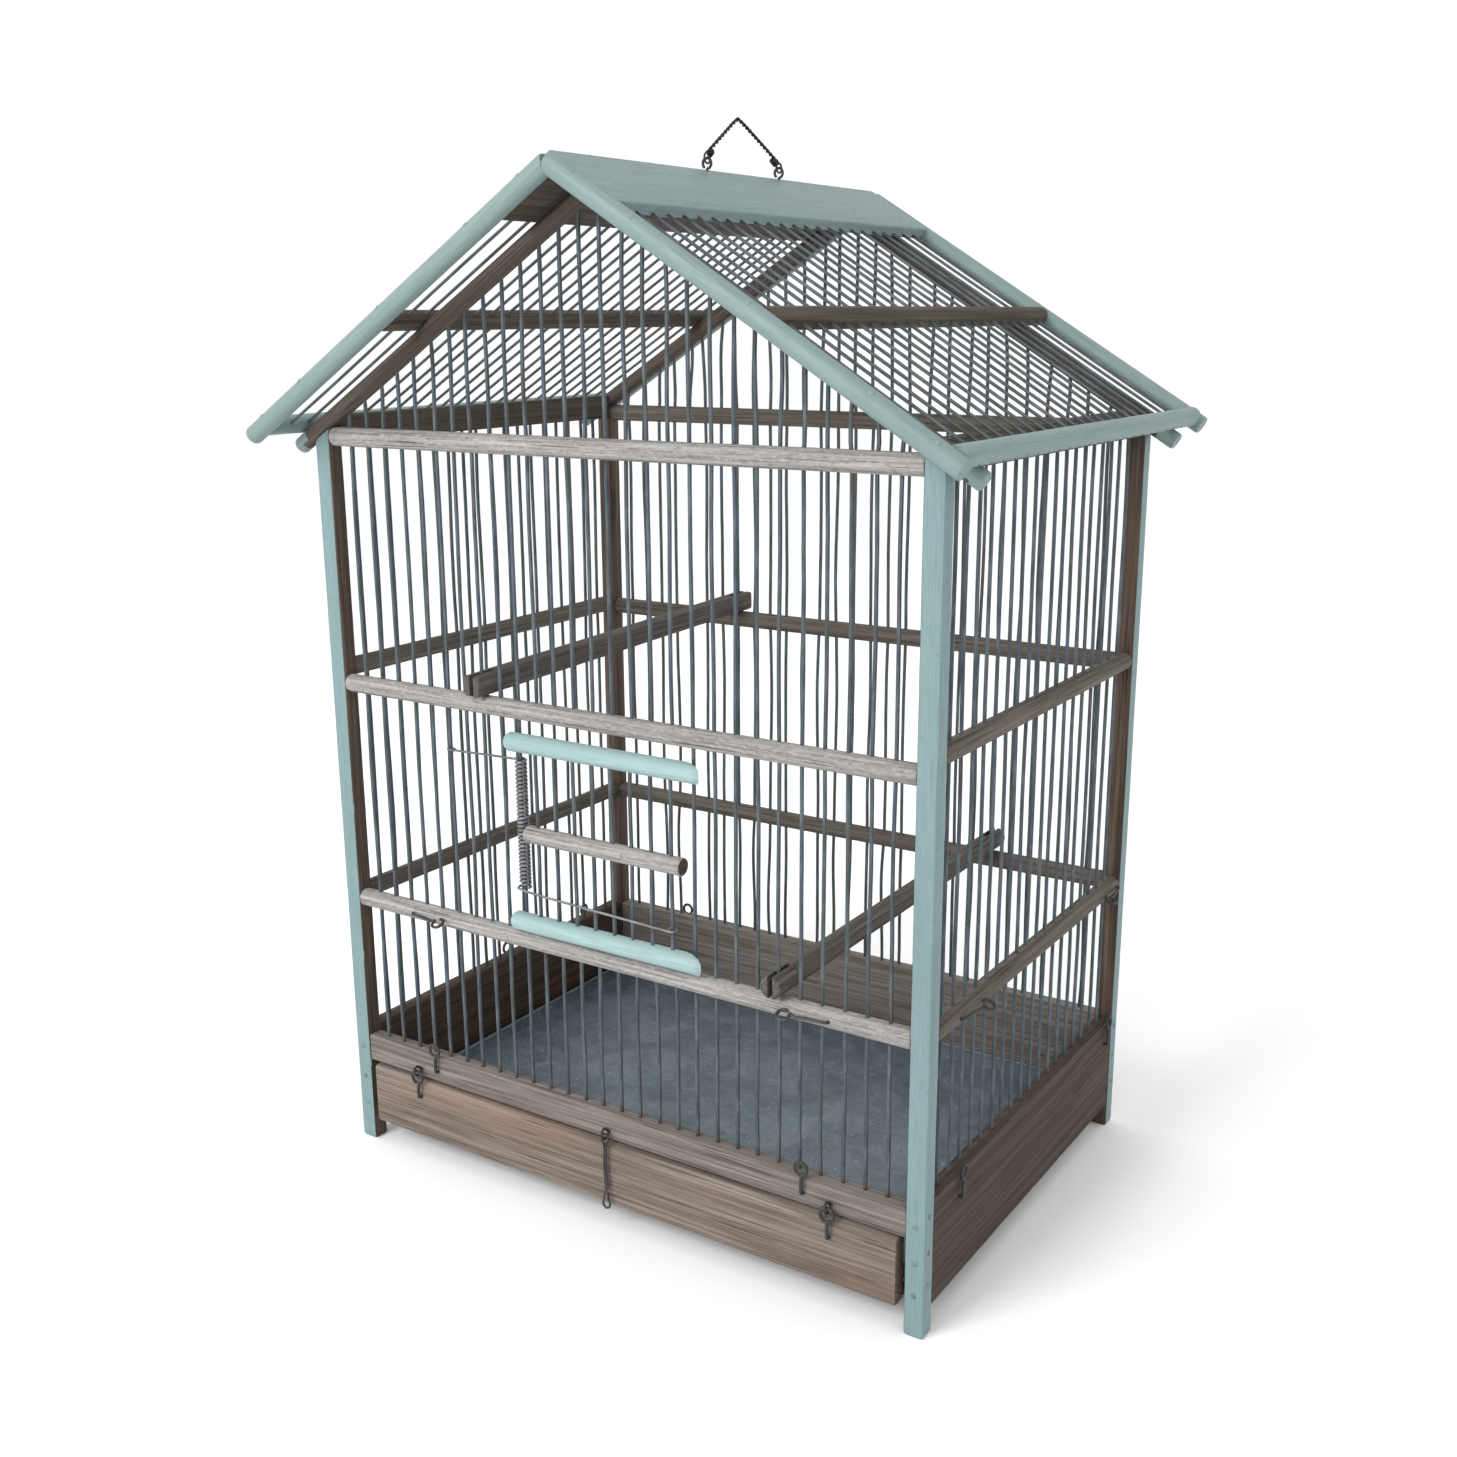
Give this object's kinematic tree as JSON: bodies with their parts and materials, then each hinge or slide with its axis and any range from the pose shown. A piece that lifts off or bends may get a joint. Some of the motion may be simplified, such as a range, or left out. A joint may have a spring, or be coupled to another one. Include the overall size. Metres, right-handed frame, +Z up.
{
  "type": "gable-roofed wooden bird cage",
  "caption": "House-shaped wood-and-wire bird cage: gable wire roof, sprung wire door, two perches, metal tray behind a lift-up flap, and a wire carrying handle.",
  "frame": {"origin": "under the middle of the cage, on the surface that its four feet stand on", "axes": "+Z up, the door and the flap are on the -Y side, +X to the right seen from the door side"},
  "size_m": [0.482, 0.3644, 0.6639],
  "materials": {
    "blue_green_paint": "brushed blue-green oil paint on wood, worn at the edges",
    "mint_paint": "lighter mint oil paint on wood",
    "weathered_dowel": "bare weathered wood, silver-grey with fine grain",
    "pine_board": "bare weathered softwood board with streaky grain",
    "dark_wood": "bare dark brown weathered wood",
    "zinc_sheet": "dull mottled zinc sheet with a folded rim",
    "cage_wire": "dull galvanised steel wire",
    "spring_steel": "dull grey spring wire",
    "handle_wire": "dark twisted soft wire",
    "iron_hardware": "dark rusted iron wire fittings",
    "nail_steel": "painted-over nail heads"
  },
  "bodies": {
    "root": {"post_front_left": "blue_green_paint", "post_front_right": "blue_green_paint", "post_back_left": "blue_green_paint", "post_back_right": "blue_green_paint", "front_top_rail": "weathered_dowel", "front_mid_rail": "weathered_dowel", "front_low_rail": "weathered_dowel", "back_rails": "weathered_dowel", "left_rails": "weathered_dowel", "right_rails": "weathered_dowel", "left_top_plate": "dark_wood", "right_top_plate": "dark_wood", "front_board": "pine_board", "left_board": "pine_board", "right_board": "pine_board", "back_board": "pine_board", "tray_runners": "pine_board", "tray": "zinc_sheet", "hinge_staples": "iron_hardware", "front_wires": "cage_wire", "back_wires": "cage_wire", "left_wires": "cage_wire", "right_wires": "cage_wire", "roof_wires_left": "cage_wire", "roof_wires_right": "cage_wire", "rafter_front_left": "dark_wood", "rafter_front_right": "dark_wood", "back_rafters": "dark_wood", "barge_front_left": "blue_green_paint", "barge_front_right": "blue_green_paint", "back_barges": "blue_green_paint", "left_eave_rod": "blue_green_paint", "right_eave_rod": "blue_green_paint", "left_purlin": "dark_wood", "right_purlin": "dark_wood", "left_ridge_board": "blue_green_paint", "right_ridge_board": "blue_green_paint", "door_spring_coil": "spring_steel", "upper_perch": "dark_wood", "lower_perch": "dark_wood", "handle_eyes": "iron_hardware", "feeder_eyes": "iron_hardware", "frame_nails": "nail_steel"},
    "door": {"door_top_batten": "mint_paint", "door_bottom_batten": "mint_paint", "door_grip_bar": "weathered_dowel", "door_wires": "cage_wire", "door_spring_leg": "spring_steel"},
    "flap": {"flap_board": "pine_board", "flap_hinge_eyes": "iron_hardware"},
    "pull_wire": {"flap_pull_wire": "iron_hardware"},
    "handle": {"handle_wire": "handle_wire"},
    "arm_front_left": {"feeder_arm_front_left": "iron_hardware"},
    "arm_front_right": {"feeder_arm_front_right": "iron_hardware"},
    "arm_right_front": {"feeder_arm_right_front": "iron_hardware"},
    "arm_right_back": {"feeder_arm_right_back": "iron_hardware"},
    "arm_left_front": {"feeder_arm_left_front": "iron_hardware"},
    "arm_left_back": {"feeder_arm_left_back": "iron_hardware"},
    "arm_back": {"feeder_arm_back": "iron_hardware"}
  },
  "joints": [
    {"name": "door_hinge", "type": "hinge", "parent": "root", "child": "door", "pos_m": [-0.063, -0.143, 0.245], "axis": [0, 0, -1], "range_deg": [0, 100], "stiffness_Nm_per_rad": 0.02, "springref_deg": -34.38},
    {"name": "flap_hinge", "type": "hinge", "parent": "root", "child": "flap", "pos_m": [0, -0.1522, 0.065], "axis": [-1, 0, 0], "range_deg": [0, 100]},
    {"name": "pull_wire_hinge", "type": "hinge", "parent": "root", "child": "pull_wire", "pos_m": [0, -0.1522, 0.065], "axis": [-1, 0, 0], "range_deg": [0, 100]},
    {"name": "handle_swing", "type": "hinge", "parent": "root", "child": "handle", "pos_m": [0, 0.01, 0.63482], "axis": [0, 1, 0], "range_deg": [-95, 95]},
    {"name": "arm_front_left_swing", "type": "hinge", "parent": "root", "child": "arm_front_left", "pos_m": [-0.154, -0.143, 0.176], "axis": [0, -1, 0], "range_deg": [0, 90]},
    {"name": "arm_front_right_swing", "type": "hinge", "parent": "root", "child": "arm_front_right", "pos_m": [0.154, -0.143, 0.176], "axis": [0, 1, 0], "range_deg": [0, 90]},
    {"name": "arm_right_front_swing", "type": "hinge", "parent": "root", "child": "arm_right_front", "pos_m": [0.209, -0.111, 0.178], "axis": [1, 0, 0], "range_deg": [0, 90]},
    {"name": "arm_right_back_swing", "type": "hinge", "parent": "root", "child": "arm_right_back", "pos_m": [0.209, 0.133, 0.178], "axis": [-1, 0, 0], "range_deg": [0, 90]},
    {"name": "arm_left_front_swing", "type": "hinge", "parent": "root", "child": "arm_left_front", "pos_m": [-0.209, -0.004, 0.178], "axis": [1, 0, 0], "range_deg": [0, 90]},
    {"name": "arm_left_back_swing", "type": "hinge", "parent": "root", "child": "arm_left_back", "pos_m": [-0.209, 0.092, 0.178], "axis": [1, 0, 0], "range_deg": [0, 90]},
    {"name": "arm_back_swing", "type": "hinge", "parent": "root", "child": "arm_back", "pos_m": [-0.16, 0.143, 0.178], "axis": [0, -1, 0], "range_deg": [0, 90]}
  ],
  "couplings": [
    {"joint": "pull_wire_hinge", "follows": "flap_hinge", "ratio": 1}
  ]
}
